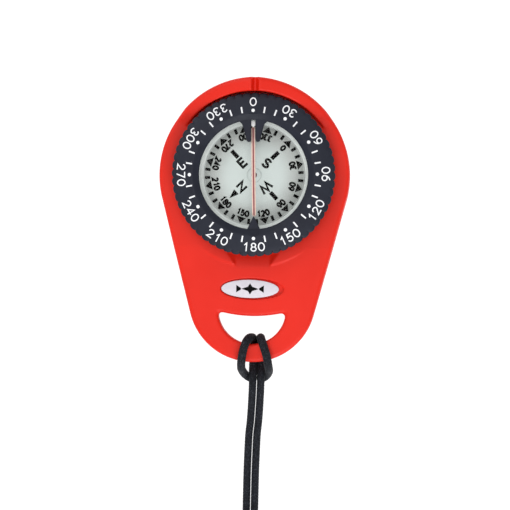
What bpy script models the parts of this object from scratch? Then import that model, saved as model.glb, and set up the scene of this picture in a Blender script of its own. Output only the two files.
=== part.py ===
"""Handheld bearing compass, lying on its back with the dial up.

A red two-part case holds a liquid capsule with a pivoted card, under a rotating bezel.
A braided lanyard is hitched round the bar at the end of the tail.
The origin is on the dial's axis, on the flat back. +Y points to the hood, -Y to the
lanyard, +Z out of the dial. Sizes below are in millimetres.
"""
import bpy
import bmesh
from math import asin, cos, degrees, hypot, pi, radians, sin
from mathutils import Matrix, Vector

MM = 0.001
GAP = 0.3                     # space kept between pieces that touch

# Case outline: two circles and their common tangents
HEAD_R = 38.6
TAIL_R = 25.9
TAIL_Y = -50.0
SEAM_Z = 8.5                  # parting plane, underside of the front case
WALL = 2.4
SHOULDER_Z = 17.0             # top of the case beside the bezel
HOOD_RISE = 10.5              # hood crest above the shoulder, on the axis
HOOD_END_RISE = 2.6           # the same at the hood's two ends
HOOD_HALF_ANGLE = 51.0
HOOD_BLEND = 2.5              # degrees over which each hood end comes down
HOOD_FLARE = 0.07             # how far the hood leans out per millimetre of rise
REAR_PULL = 1.5               # how much smaller the head's top is over the tail
WELL_R = 33.7                 # inner wall of the hood
DECK_Z = 16.9                 # plate that carries the capsule
DECK_HOLE_R = 24.6
TAIL_TOP_Z = 12.7             # tail top at its far end
TAIL_SLOPE = 0.086            # rise per millimetre towards the head
TAIL_ROOF_Z = 16.95           # where that rise stops
NECK_Y = -9.6                 # where the sides leave the head circle
EDGE_ROUND = 1.6
BAR_UNDER_Z = 5.4             # underside of the tail, high enough for the cord to pass
RAMP_START_Y, RAMP_END_Y = -37.0, -55.0

GROOVE_R = 1.25               # sighting groove across the hood's crest

# Lanyard slot and badge
SLOT_Y, SLOT_R = -54.7, 13.75
SLOT_TOP_Y, SLOT_TOP_R = -57.15, 54.0
BADGE_Y, BADGE_A, BADGE_B = -46.1, 11.7, 3.7
BADGE_SHIFT_X = -0.8
RECESS_A, RECESS_B, RECESS_DEPTH = 12.8, 4.3, 1.1

# Bezel
TEETH = 60
TOOTH_R, TOOTH_DEPTH = 33.0, 0.7
APERTURE_R = 21.95
BEZEL_LOW_Z, LIP_Z = 17.3, 23.1
PLATE_TOP_Z = 24.0
BEZEL_TURN = 1.36             # degrees anticlockwise that the bezel is set at
LUBBER_TURN = 1.8             # the same for the capsule's lubber line

# Capsule and card
DOME_R, DOME_APEX_Z, DOME_THICK = 116.0, 23.0, 1.6
PIVOT_Z = 17.3
CARD_R, CARD_EDGE_Z, CARD_CENTRE_Z, CARD_THICK = 20.35, 16.3, 17.2, 0.7
NORTH = 225.8                 # card's north, clockwise from +Y
PLUG_Z = 11.4                 # filler plug in the wall of the bowl

# Screws: (x, y) of each
SCREW_RING_R = 30.6
TAIL_SCREW = (18.5, -45.0)

# Lanyard: diameter, and the stored coil
CORD_D = 3.2
COIL_X, COIL_Y = -15.8, -158.0
COIL_R_IN, COIL_R_OUT = 14.75, 18.1
COIL_LIFT, COIL_PITCH, COIL_LAYERS = 1.1, 3.3, 3
STRAP_THICK, STRAP_WIDTH = 0.8, 6.0
KNOT_ANGLE = 58.0             # where the end knot lies on the coil, clockwise from +X


# ---------------------------------------------------------------- helpers

def clear_scene():
    for item in list(bpy.data.objects):
        bpy.data.objects.remove(item, do_unlink=True)


def new_collection(name):
    collection = bpy.data.collections.new(name)
    bpy.context.scene.collection.children.link(collection)
    return collection


def paint(name, colour, roughness, metallic=0.0, alpha=1.0):
    mat = bpy.data.materials.new(name)
    mat.use_nodes = True
    shader = mat.node_tree.nodes["Principled BSDF"]
    shader.inputs["Base Color"].default_value = (*colour, 1.0)
    shader.inputs["Roughness"].default_value = roughness
    shader.inputs["Metallic"].default_value = metallic
    shader.inputs["Alpha"].default_value = alpha
    mat.diffuse_color = (*colour, alpha)
    return mat


def add(name, mesh, mat=None, smooth=True):
    """Put a mesh in the scene: a part when it has a material, a hidden cutter when not."""
    item = bpy.data.objects.new(name, mesh)
    if mat is None:
        CUTTERS.objects.link(item)
        item.hide_render = True
        item.display_type = "WIRE"
        return item
    PARTS.objects.link(item)
    mesh.materials.append(mat)
    if smooth:
        mesh.shade_smooth()
        mesh.set_sharp_from_angle(angle=radians(35))
    return item


def to_mesh(name, builder):
    """A mesh in metres from a bmesh that was built in millimetres."""
    bmesh.ops.transform(builder, matrix=Matrix.Scale(MM, 4), verts=builder.verts)
    bmesh.ops.recalc_face_normals(builder, faces=builder.faces)
    mesh = bpy.data.meshes.new(name)
    builder.to_mesh(mesh)
    builder.free()
    return mesh


def turned(name, profile, steps, mat=None):
    """Turn a profile of (radius, height) about Z. It runs down its outer side.

    A profile that starts and ends on the axis is left open, any other is closed.
    """
    mesh = bpy.data.meshes.new(name)
    points = [(r * MM, 0.0, z * MM) for r, z in profile]
    edges = [(i, i + 1) for i in range(len(points) - 1)]
    if profile[0][0] > 0:
        edges.append((len(points) - 1, 0))
    mesh.from_pydata(points, edges, [])
    item = add(name, mesh, mat)
    screw = item.modifiers.new("turn", "SCREW")
    screw.axis = "Z"
    screw.steps = screw.render_steps = steps
    screw.use_merge_vertices = True
    screw.merge_threshold = 0.00001
    return item


def settled(item):
    """Apply an object's modifiers, so that its vertices can be moved."""
    graph = bpy.context.evaluated_depsgraph_get()
    mesh = bpy.data.meshes.new_from_object(item.evaluated_get(graph))
    item.modifiers.clear()
    item.data = mesh
    return item


def prism(name, outline, low, high, mat=None, slope=0.0, rounded=0.0):
    """Extrude an outline from low to high. slope tilts the top along Y about y = 0."""
    builder = bmesh.new()
    ring = [builder.verts.new((x, y, low)) for x, y in outline]
    base = builder.faces.new(ring)
    top = bmesh.ops.extrude_face_region(builder, geom=[base])["geom"]
    top_verts = [v for v in top if isinstance(v, bmesh.types.BMVert)]
    for vert in top_verts:
        vert.co.z = high + slope * vert.co.y
    if rounded:
        rim = [e for e in top if isinstance(e, bmesh.types.BMEdge)]
        rim = [e for e in rim if hypot(*e.verts[0].co.xy) > 26 or hypot(*e.verts[1].co.xy) > 26]
        bmesh.ops.bevel(builder, geom=rim, offset=rounded, segments=2, profile=0.5,
                        affect="EDGES", clamp_overlap=True)
    return add(name, to_mesh(name, builder), mat)


def cylinder(name, x, y, low, high, radius, mat=None, sides=24, top_radius=None):
    builder = bmesh.new()
    place = Matrix.Translation((x, y, (low + high) / 2))
    bmesh.ops.create_cone(builder, cap_ends=True, segments=sides, radius1=radius,
                          radius2=radius if top_radius is None else top_radius,
                          depth=high - low, matrix=place)
    return add(name, to_mesh(name, builder), mat)


def block(name, size, centre, mat=None, turn=0.0):
    builder = bmesh.new()
    place = Matrix.Translation(centre) @ Matrix.Rotation(turn, 4, "Z")
    bmesh.ops.create_cube(builder, size=1.0, matrix=place @ Matrix.Diagonal((*size, 1.0)))
    return add(name, to_mesh(name, builder), mat, smooth=False)


def combine(item, operation, *others):
    for other in others:
        step = item.modifiers.new(other.name, "BOOLEAN")
        step.operation = operation
        step.solver = "EXACT"
        step.object = other


def arc(cx, cy, radius, start, end, count):
    """Points on a circle from start to end, in degrees anticlockwise from +X."""
    angles = [radians(start + (end - start) * i / (count - 1)) for i in range(count)]
    return [(cx + radius * cos(a), cy + radius * sin(a)) for a in angles]


def pod_outline(inset=0.0, count=33):
    """The case outline: head circle, tail circle and their tangents, anticlockwise."""
    taper = degrees(asin((HEAD_R - TAIL_R) / -TAIL_Y))
    tail = arc(0, TAIL_Y, TAIL_R - inset, 180 + taper, 360 - taper, count)
    head = arc(0, 0, HEAD_R - inset, -taper, 180 + taper, count)
    return tail + head


def clipped(outline, low_y, high_y):
    """The part of a convex outline between two values of y."""
    kept = []
    for (x0, y0), (x1, y1) in zip(outline, outline[1:] + outline[:1]):
        if low_y <= y0 <= high_y:
            kept.append((x0, y0))
        for edge in sorted((low_y, high_y), key=lambda y: abs(y - y0)):
            if (y0 - edge) * (y1 - edge) < 0:
                kept.append((x0 + (x1 - x0) * (edge - y0) / (y1 - y0), edge))
    return kept


def ellipse(cx, cy, a, b, count=40):
    return [(cx + a * cos(2 * pi * i / count), cy + b * sin(2 * pi * i / count))
            for i in range(count)]


def tail_top(y):
    return TAIL_TOP_Z + TAIL_SLOPE * (y - TAIL_Y + TAIL_R)


def screw_places():
    ring = [(SCREW_RING_R * cos(radians(a)), SCREW_RING_R * sin(radians(a))) for a in (90, 205, 335)]
    return ring + [TAIL_SCREW, (-TAIL_SCREW[0], TAIL_SCREW[1])]


# ---------------------------------------------------------------- case

def slot_outline(grow=0.0):
    """The slot: a deep arc below, a shallow arc above."""
    below = arc(0, SLOT_Y, SLOT_R + grow, -172, -8, 17)
    xs = [12.2 - 24.4 * i / 6 for i in range(7)]
    above = [(x, SLOT_TOP_Y + grow + x * x / (2 * SLOT_TOP_R)) for x in xs]
    return below + above


def slot_cutter():
    """Straight through the middle, wider at both mouths so that the rims are eased."""
    levels = [(-1.0, EDGE_ROUND), (BAR_UNDER_Z, EDGE_ROUND), (BAR_UNDER_Z + EDGE_ROUND, 0.0),
              (TAIL_TOP_Z - EDGE_ROUND + 0.6, 0.0), (TAIL_TOP_Z + 0.9, EDGE_ROUND), (20.0, 3.0)]
    builder = bmesh.new()
    rings = [[builder.verts.new((x, y, z)) for x, y in slot_outline(grow)] for z, grow in levels]
    builder.faces.new(rings[0])
    builder.faces.new(rings[-1])
    for low, high in zip(rings, rings[1:]):
        for i in range(len(low)):
            j = (i + 1) % len(low)
            builder.faces.new((low[i], low[j], high[j], high[i]))
    return add("slot_cut", to_mesh("slot_cut", builder))


def hood_rise(angle):
    """Height of the hood above the shoulder at an angle from +Y, in degrees."""
    run = (HOOD_HALF_ANGLE + HOOD_BLEND - abs(angle)) / (2 * HOOD_BLEND)
    run = min(1.0, max(0.0, run))
    slope = max(0.0, 1 - abs(angle) / HOOD_HALF_ANGLE)
    return (HOOD_END_RISE + (HOOD_RISE - HOOD_END_RISE) * slope) * run * run * (3 - 2 * run)


def head_block():
    """The round head: its rim rises and leans out into the hood, and draws in at the rear."""
    profile = [(0, SHOULDER_Z), (32.0, SHOULDER_Z), (HEAD_R - 1.4, SHOULDER_Z),
               (HEAD_R - 0.5, SHOULDER_Z - 0.4), (HEAD_R, SHOULDER_Z - 1.3), (HEAD_R, SEAM_Z),
               (0, SEAM_Z)]
    head = settled(turned("front_case", profile, 72, RED))
    for vert in head.data.vertices:
        x, y, z = vert.co / MM
        radius = hypot(x, y)
        if radius > 31 and z > SEAM_Z + 2:
            angle = degrees(pi / 2 - Vector((x, y)).angle_signed(Vector((1, 0))))
            angle = (angle + 180) % 360 - 180
            rise = hood_rise(angle)
            pull = REAR_PULL * min(1.0, max(0.0, (abs(angle) - 105) / 20))
            out = (HOOD_FLARE * rise - pull if radius > 35 else 0.0) / radius
            vert.co = Vector((vert.co.x * (1 + out), vert.co.y * (1 + out), vert.co.z + rise * MM))
    head.data.shade_smooth()
    head.data.set_sharp_from_angle(angle=radians(35))
    return head


def front_case():
    """Hood, shoulders and tail in one moulding, open below."""
    case = head_block()
    base = tail_top(0)
    tail = prism("tail_block", clipped(pod_outline(), -90, NECK_Y), SEAM_Z, base,
                 slope=TAIL_SLOPE, rounded=EDGE_ROUND)
    combine(tail, "DIFFERENCE", block("roof_cut", (120, 120, 20), (0, -40, TAIL_ROOF_Z + 10)))
    well = turned("well_cut", [(0, 40), (WELL_R, 40), (WELL_R, DECK_Z), (DECK_HOLE_R, DECK_Z),
                               (DECK_HOLE_R, DECK_Z - WALL), (HEAD_R - WALL, DECK_Z - WALL),
                               (HEAD_R - WALL, 0), (0, 0)], 72)
    channel = prism("channel_cut", [(-9.6, -32.0), (-6.7, -37.0), (-6.7, -39.5), (6.7, -39.5),
                                    (6.7, -37.0), (9.6, -32.0)], tail_top(-36), 30)
    hollow = prism("tail_hollow", clipped(pod_outline(WALL), -51.5, -38.6), 0,
                   base - WALL, slope=TAIL_SLOPE)
    groove = cylinder("sight_groove", 0, 0, 0, 12, GROOVE_R, sides=20)
    groove.data.transform(Matrix.Translation((0, 31 * MM, (SHOULDER_Z + HOOD_RISE + 0.1) * MM))
                          @ Matrix.Rotation(-pi / 2, 4, "X"))
    recess = prism("badge_recess", ellipse(0, BADGE_Y, RECESS_A, RECESS_B),
                   tail_top(BADGE_Y) - RECESS_DEPTH, 25)
    combine(case, "UNION", tail)
    combine(case, "DIFFERENCE", well, channel, hollow)
    for i, (x, y) in enumerate(screw_places()):
        roof = DECK_Z - WALL if i < 3 else tail_top(y) - WALL
        boss = cylinder(f"boss_{i}", x, y, SEAM_Z, roof + 0.5, 2.7)
        combine(case, "UNION", boss)
    for i, (x, y) in enumerate(screw_places()):
        hole = cylinder(f"boss_hole_{i}", x, y, SEAM_Z - 1, 12.4, 1.4, sides=16)
        combine(case, "DIFFERENCE", hole)
    combine(case, "DIFFERENCE", groove, recess, SLOT_CUT)


def rear_cover():
    """Flat under the head, rising under the tail, with posts for the screws."""
    high = SEAM_Z - GAP
    cover = prism("rear_cover", pod_outline(), 0, high, RED)
    bottom_rim(cover)
    ramp = prism("tail_ramp", [(RAMP_START_Y, -5), (RAMP_START_Y, 0), (RAMP_END_Y, BAR_UNDER_Z),
                               (-90, BAR_UNDER_Z), (-90, -5)], -50, 50)
    ramp.data.transform(Matrix(((0, 0, 1, 0), (1, 0, 0, 0), (0, 1, 0, 0), (0, 0, 0, 1))))
    tray = cylinder("cover_tray", 0, 0, WALL, 20, HEAD_R - WALL, sides=72)
    combine(cover, "DIFFERENCE", ramp, tray)
    for i, (x, y) in enumerate(screw_places()):
        if i < 3:
            combine(cover, "UNION", cylinder(f"post_{i}", x, y, 0.4, high, 4.2))
    for i, (x, y) in enumerate(screw_places()):
        hole = cylinder(f"cover_hole_{i}", x, y, -1, 20, 1.5, sides=16)
        sink = cylinder(f"cover_sink_{i}", x, y, -1, screw_seat(i), 2.9)
        combine(cover, "DIFFERENCE", hole, sink)
    combine(cover, "DIFFERENCE", SLOT_CUT)


def bottom_rim(cover):
    """Ease the lower outer edge of the cover."""
    builder = bmesh.new()
    builder.from_mesh(cover.data)
    rim = [e for e in builder.edges if all(v.co.z < 0.1 * MM for v in e.verts)]
    bmesh.ops.bevel(builder, geom=rim, offset=EDGE_ROUND * MM, segments=2, profile=0.5,
                    affect="EDGES", clamp_overlap=True)
    builder.to_mesh(cover.data)
    builder.free()


def screw_seat(index):
    """Height of the shoulder that a screw's head pulls against."""
    return 2.4 if index < 3 else 5.6


def case_screws():
    for i, (x, y) in enumerate(screw_places()):
        seat = screw_seat(i) - GAP
        low = seat - 1.8
        screw = cylinder(f"case_screw_{i + 1}", x, y, low, seat, 2.4, STEEL, sides=20)
        shank = cylinder(f"shank_{i}", x, y, seat - 0.4, 12.0, 1.2, sides=16)
        drive = block(f"drive_{i}", (2.6, 0.6, 1.6), (x, y, low))
        cross = block(f"cross_{i}", (0.6, 2.6, 1.6), (x, y, low))
        combine(screw, "UNION", shank)
        combine(screw, "DIFFERENCE", drive, cross)


def badge():
    low = tail_top(BADGE_Y) - RECESS_DEPTH + GAP
    prism("badge", ellipse(BADGE_SHIFT_X, BADGE_Y, BADGE_A, BADGE_B), low, low + 1.0, PEARL)


# ---------------------------------------------------------------- bezel

def fork_outline():
    """Two prongs that narrow towards the dial's centre, with a slot between them."""
    side = [(3.9, 22.8), (3.9, 19.8), (3.1, 17.6), (2.5, 15.4), (2.4, 13.9), (2.0, 13.25),
            (1.3, 13.25), (0.9, 13.9), (0.9, 21.4)]
    return [(-x, y) for x, y in side] + [(x, y) for x, y in reversed(side)]


def bezel():
    """Scalloped ring that turns on the retaining ring, held under it by an inner lip."""
    profile = [(24.6, 25.4), (31.2, 23.8), (TOOTH_R, 23.3), (TOOTH_R - 0.5, BEZEL_LOW_Z),
               (27.4, BEZEL_LOW_Z), (27.4, 18.6), (28.8, 18.8), (28.8, 22.9), (24.0, 23.2),
               (APERTURE_R, LIP_Z), (APERTURE_R, PLATE_TOP_Z - 0.1)]
    ring = settled(turned("bezel", profile, 2 * TEETH, BLACK))
    for vert in ring.data.vertices:
        x, y, z = vert.co / MM
        radius = hypot(x, y)
        tooth = round(degrees(Vector((1, 0)).angle_signed(Vector((x, y)))) * TEETH / 180)
        if radius > 31.5 and tooth % 2:
            vert.co.x *= 1 - TOOTH_DEPTH / radius
            vert.co.y *= 1 - TOOTH_DEPTH / radius
    fork = prism("fork_plate", fork_outline(), LIP_Z + 0.05, PLATE_TOP_Z - 0.05)
    triangle = prism("triangle_plate", [(-2.45, -22.8), (2.45, -22.8), (2.3, -21.4), (0.12, -16.8),
                                        (-0.12, -16.8), (-2.3, -21.4)],
                     LIP_Z + 0.05, PLATE_TOP_Z - 0.05)
    for piece in (fork, triangle):
        piece.data.transform(Matrix.Rotation(radians(BEZEL_TURN), 4, "Z"))
    combine(ring, "UNION", fork, triangle)


def bezel_supports():
    turned("retaining_ring", [(24.4, 22.4), (28.4, 22.4), (28.4, 21.4), (27.2, 21.4),
                              (27.2, 20.2), (28.4, 20.2), (28.4, 19.0), (26.9, 19.0),
                              (26.9, 17.0), (25.7, 17.0), (25.7, 20.8), (24.4, 20.8)], 48, BLACK)
    friction = [(27.85 + 0.42 * cos(a), 20.8 + 0.42 * sin(a))
                for a in (radians(90 - 60 * i) for i in range(6))]
    turned("bezel_friction_ring", friction, 36, RUBBER)


# ---------------------------------------------------------------- capsule

def dome_z(radius, lift=0.0):
    return DOME_APEX_Z + lift - radius * radius / (2 * DOME_R)


def capsule():
    outer = [(0, DOME_APEX_Z)] + [(r, dome_z(r)) for r in (6, 12, 18, 22, 25.4)]
    inner = [(r, dome_z(r, -DOME_THICK)) for r in (23.4, 18, 12, 6)]
    rim = [(25.4, 18.7), (23.4, 18.7)]
    turned("dome", outer + rim + inner + [(0, DOME_APEX_Z - DOME_THICK)], 40, CLEAR)
    turned("dome_seal", [(23.6, 18.5), (25.2, 18.5), (25.2, 18.1), (23.6, 18.1)], 32, RUBBER)
    bowl = [(22.6, 17.9), (25.3, 17.9), (25.3, 17.0), (24.0, 17.0), (24.0, 8.8), (21.0, 5.8),
            (4.4, 5.8), (4.4, 7.2), (19.8, 7.2), (22.6, 9.8)]
    turned("capsule_bowl", bowl, 40, WHITE)
    turned("capsule_liner", [(20.65, 16.4), (22.4, 17.3), (22.4, 16.5), (21.35, 15.9),
                             (21.35, 9.3), (20.65, 9.3)], 40, WHITE)
    turned("pivot_post", [(0, 8.4), (0.9, 8.4), (0.9, 12.4), (1.7, 12.4), (1.7, 9.2), (6.0, 9.2),
                          (6.0, 7.5), (4.0, 7.5), (4.0, 5.2), (0, 5.2)], 20, BLACK)
    turned("pivot_pin", [(0, 17.2), (0.12, 17.1), (0.5, 16.2), (0.5, 8.7), (0, 8.7)], 16, STEEL)
    wave = [(6 + 1.5 * i, 5.2 if i % 2 else 4.7) for i in range(9)]
    under = [(r, z - 0.4) for r, z in reversed(wave)]
    turned("diaphragm", wave + under, 24, RUBBER)
    turned("diaphragm_ring", [(14.6, 4.0), (17.4, 4.0), (17.4, 2.8), (14.6, 2.8)], 32, BLACK)
    turned("cushion_ring", [(18.4, 5.5), (20.8, 5.5), (20.8, 2.7), (18.4, 2.7)], 32, FOAM)
    plug = cylinder("filler_plug", 0, 0, 0, 3.2, 1.6, BRASS, sides=20)
    seal = cylinder("plug_seal", 0, 0, 0, 0.8, 2.3, RUBBER, sides=20)
    hole = cylinder("plug_hole", 0, 0, -3, 6, 1.9, sides=20)
    seal_hole = cylinder("seal_hole", 0, 0, -3, 6, 1.9, sides=20)
    for piece, out in ((plug, 23.0), (seal, 24.3), (hole, 23.0), (seal_hole, 24.3)):
        piece.data.transform(Matrix.Rotation(radians(-90), 4, "Z")
                             @ Matrix.Translation((out * MM, 0, PLUG_Z * MM))
                             @ Matrix.Rotation(radians(90), 4, "Y"))
    combine(bpy.data.objects["capsule_bowl"], "DIFFERENCE", hole)
    combine(seal, "DIFFERENCE", seal_hole)


def dome_bar(name, half_width, low, thick, start, end, mat):
    """A narrow bar along Y that follows the dome, low above its surface."""
    count = 12
    builder = bmesh.new()
    rings = []
    for i in range(count + 1):
        y = start + (end - start) * i / count
        base = dome_z(abs(y), low)
        rings.append([builder.verts.new(p) for p in
                      ((-half_width, y, base), (half_width, y, base),
                       (half_width, y, base + thick), (-half_width, y, base + thick))])
    builder.faces.new(rings[0])
    builder.faces.new(rings[-1])
    for near, far in zip(rings, rings[1:]):
        for i in range(4):
            j = (i + 1) % 4
            builder.faces.new((near[i], near[j], far[j], far[i]))
    return add(name, to_mesh(name, builder), mat, smooth=False)


def lubber_line():
    bars = [dome_bar("lubber_strip", 0.85, 0.12, 0.28, -21.3, 19.1, CLEAR),
            dome_bar("lubber_line", 0.32, 0.48, 0.12, -21.3, 19.1, RED),
            dome_bar("lubber_tip", 0.87, 0.12, 0.5, 19.4, 21.7, WHITE)]
    for bar in bars:
        bar.data.transform(Matrix.Rotation(radians(LUBBER_TURN), 4, "Z"))


# ---------------------------------------------------------------- card

def card_group():
    """Everything that swings on the pivot, hung from an empty at the pivot point."""
    pivot = bpy.data.objects.new("card_pivot", None)
    PARTS.objects.link(pivot)
    pivot.location = (0, 0, PIVOT_Z * MM)
    top = [(3.2, CARD_CENTRE_Z), (CARD_R, CARD_EDGE_Z)]
    card = turned("compass_card", top + [(r, z - CARD_THICK) for r, z in reversed(top)], 48, CARD)
    float_ring = turned("card_float", [(3.3, 16.1), (8.0, 15.8), (8.0, 12.9), (7.4, 12.5),
                                       (3.3, 12.5)], 24, WHITE)
    sleeve = turned("jewel_sleeve", [(1.15, 17.9), (2.4, 17.9), (2.9, 17.6), (2.9, 13.2),
                                     (1.4, 13.2), (1.4, 16.3), (1.15, 16.5)], 24, WHITE)
    cup = turned("jewel_cup", [(0, 17.95), (0.6, 17.95), (0.85, 17.7), (0.85, 17.0), (0.55, 17.0),
                               (0, 17.6)], 16, JEWEL)
    pieces = [card, float_ring, sleeve, cup]
    along = radians(90 - NORTH)
    for side, name in ((1, "magnet_a"), (-1, "magnet_b")):
        offset = Matrix.Rotation(along, 3, "Z") @ Vector((0, side * 9.8, 14.4))
        pieces.append(block(name, (13.0, 2.4, 2.2), offset, STEEL, turn=along))
    bpy.context.view_layer.update()
    for piece in pieces:
        piece.parent = pivot
        piece.matrix_parent_inverse = pivot.matrix_world.inverted()


# ---------------------------------------------------------------- lanyard

# Each strand runs from the middle of the bight under the other strands, up and over the
# bar, down through the slot, back under the bar, over the bight and along the surface.
LEFT_ROUTE = [
    (1.55, -82.9, 1.6), (0.0, -82.8, 1.6), (-1.5, -82.2, 1.8), (-2.8, -81.1, 3.1),
    (-3.5, -80.0, 5.6), (-3.85, -78.95, 8.6), (-3.9, -77.95, 11.9), (-3.75, -75.7, 14.75),
    (-3.35, -72.6, 15.45), (-2.75, -69.9, 15.4), (-1.95, -67.5, 14.5), (-0.9, -66.05, 12.2),
    (0.1, -65.9, 9.3), (0.4, -66.25, 6.5), (0.5, -67.85, 4.3), (0.56, -70.8, 3.4),
    (0.6, -74.0, 3.4), (0.6, -77.5, 3.8), (0.6, -81.0, 4.85), (0.58, -84.4, 5.1),
    (0.5, -88.0, 4.4), (0.3, -92.0, 2.8), (0.1, -96.0, 1.8), (-0.2, -101.0, 1.6),
    (-0.65, -106.0, 1.6), (-0.9, -114.0, 1.6), (-1.05, -124.0, 1.6), (-1.05, -142.4, 2.0)]
RIGHT_ROUTE = [
    (2.45, -82.9, 1.6), (4.0, -82.8, 1.6), (5.4, -82.2, 1.8), (6.5, -81.1, 3.1),
    (7.1, -80.0, 5.6), (7.3, -78.95, 8.6), (7.25, -77.9, 11.9), (7.0, -75.7, 14.75),
    (6.35, -72.6, 15.4), (5.4, -69.9, 15.4), (4.55, -67.5, 14.5), (3.9, -66.05, 12.2),
    (3.6, -65.9, 9.3), (3.68, -66.1, 6.5), (3.78, -67.7, 4.3), (3.86, -70.8, 3.4),
    (3.92, -74.0, 3.4), (3.92, -77.5, 3.8), (3.92, -81.0, 4.85), (3.9, -84.4, 5.1),
    (3.82, -88.0, 4.4), (3.62, -92.0, 2.8), (3.42, -96.0, 1.8), (3.12, -101.0, 1.6),
    (2.68, -106.0, 1.6), (2.45, -114.0, 1.6), (2.3, -124.0, 1.6), (2.3, -146.4, 2.2)]


def through(points, spacing):
    """Evenly spaced points on a Catmull-Rom curve through the given points."""
    knots = [Vector(p) for p in points]
    knots = [2 * knots[0] - knots[1]] + knots + [2 * knots[-1] - knots[-2]]
    fine = []
    for a, b, c, d in zip(knots, knots[1:], knots[2:], knots[3:]):
        for i in range(12):
            t = i / 12
            fine.append(0.5 * (2 * b + (c - a) * t + (2 * a - 5 * b + 4 * c - d) * t * t
                               + (3 * b - a - 3 * c + d) * t ** 3))
    fine.append(knots[-2])
    kept, run = [fine[0]], 0.0
    for near, far in zip(fine, fine[1:]):
        run += (far - near).length
        if run >= spacing:
            kept.append(far)
            run = 0.0
    if (kept[-1] - fine[-1]).length > spacing / 2:
        kept.append(fine[-1])
    kept[-1] = fine[-1]
    return kept


def strand(name, route):
    points = through(route, 2.6)
    curve = bpy.data.curves.new(name, "CURVE")
    curve.dimensions = "3D"
    curve.bevel_depth = CORD_D / 2 * MM
    curve.bevel_resolution = 2
    curve.use_fill_caps = True
    spline = curve.splines.new("POLY")
    spline.points.add(len(points) - 1)
    for knot, point in zip(spline.points, points):
        knot.co = (*(point * MM), 1.0)
    curve.materials.append(BRAID)
    item = bpy.data.objects.new(name, curve)
    PARTS.objects.link(item)


def stored_cord():
    """The rest of the cord: both strands wound together, strapped, and knotted at the end."""
    half = CORD_D / 2
    inner, outer = COIL_R_IN - half - 0.1, COIL_R_OUT + half + 0.1
    top = COIL_LIFT + COIL_PITCH * (COIL_LAYERS - 1) + CORD_D
    coil = turned("lanyard_coil", [(inner + 1, top), (outer - 1, top), (outer, top - 1),
                                   (outer, COIL_LIFT + 1), (outer - 1, COIL_LIFT),
                                   (inner + 1, COIL_LIFT), (inner, COIL_LIFT + 1),
                                   (inner, top - 1)], 36, BRAID)
    coil.location = (COIL_X * MM, COIL_Y * MM, 0)
    middle_x = COIL_X - (inner + outer) / 2
    high = top + GAP + STRAP_THICK
    width = outer - inner + 2 * GAP + 1.2
    strap = block("coil_strap", (width + 2 * STRAP_THICK, STRAP_WIDTH, high),
                  (middle_x, COIL_Y, high / 2), RUBBER)
    inside = block("strap_inside", (width, STRAP_WIDTH + 2, high - 2 * STRAP_THICK),
                   (middle_x, COIL_Y, high / 2))
    combine(strap, "DIFFERENCE", inside)
    builder = bmesh.new()
    middle = (COIL_R_IN + COIL_R_OUT) / 2
    turn = radians(-KNOT_ANGLE)
    place = (Matrix.Translation((COIL_X + middle * cos(turn), COIL_Y + middle * sin(turn),
                                 top + 0.1 + 3.4))
             @ Matrix.Rotation(turn + pi / 2, 4, "Z") @ Matrix.Diagonal((6.0, 4.2, 3.4, 1.0)))
    bmesh.ops.create_uvsphere(builder, u_segments=14, v_segments=8, radius=1.0, matrix=place)
    add("lanyard_knot", to_mesh("lanyard_knot", builder), BRAID)


clear_scene()
PARTS = new_collection("bearing_compass")
CUTTERS = new_collection("cutters")
RED = paint("case_red", (0.72, 0.035, 0.02), 0.45)
BLACK = paint("bezel_black", (0.04, 0.045, 0.055), 0.5)
PEARL = paint("badge_pearl", (0.72, 0.68, 0.80), 0.35)
WHITE = paint("capsule_white", (0.75, 0.76, 0.75), 0.4)
CARD = paint("card_grey", (0.52, 0.58, 0.56), 0.5)
CLEAR = paint("dome_clear", (0.95, 0.97, 0.97), 0.03, alpha=0.25)
RUBBER = paint("seal_rubber", (0.03, 0.03, 0.03), 0.8)
FOAM = paint("cushion_foam", (0.12, 0.12, 0.12), 0.95)
STEEL = paint("steel", (0.6, 0.6, 0.6), 0.3, 1.0)
BRASS = paint("brass", (0.75, 0.58, 0.25), 0.3, 1.0)
JEWEL = paint("jewel", (0.75, 0.65, 0.65), 0.1)
BRAID = paint("cord_braid", (0.03, 0.033, 0.038), 0.8)

SLOT_CUT = slot_cutter()
front_case()
rear_cover()
case_screws()
badge()
bezel()
bezel_supports()
capsule()
lubber_line()
card_group()
strand("lanyard_left", LEFT_ROUTE)
strand("lanyard_right", RIGHT_ROUTE)
stored_cord()
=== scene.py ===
"""Looks of the handheld bearing compass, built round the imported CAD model.

Lengths are in millimetres and angles in degrees, turned to metres where a mesh is made.
A bearing is clockwise from +Y, as on the dial.
"""
from math import cos, degrees, hypot, pi, radians, sin, sqrt

import bmesh
import bpy
import numpy as np
from mathutils import Matrix, Vector


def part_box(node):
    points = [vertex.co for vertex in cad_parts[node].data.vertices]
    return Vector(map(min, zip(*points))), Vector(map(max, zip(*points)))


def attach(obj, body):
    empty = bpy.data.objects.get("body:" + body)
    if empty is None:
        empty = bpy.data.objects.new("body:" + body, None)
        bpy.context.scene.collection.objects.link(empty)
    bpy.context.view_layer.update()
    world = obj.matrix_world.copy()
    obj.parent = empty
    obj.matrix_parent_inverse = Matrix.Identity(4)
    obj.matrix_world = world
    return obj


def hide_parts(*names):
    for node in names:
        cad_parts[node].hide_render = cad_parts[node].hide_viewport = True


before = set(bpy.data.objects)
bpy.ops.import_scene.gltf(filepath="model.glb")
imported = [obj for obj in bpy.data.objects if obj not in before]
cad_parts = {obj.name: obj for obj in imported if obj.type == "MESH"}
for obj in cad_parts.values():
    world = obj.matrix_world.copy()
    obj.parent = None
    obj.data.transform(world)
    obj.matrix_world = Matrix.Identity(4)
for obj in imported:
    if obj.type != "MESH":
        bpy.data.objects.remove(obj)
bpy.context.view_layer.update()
MM = 0.001


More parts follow.
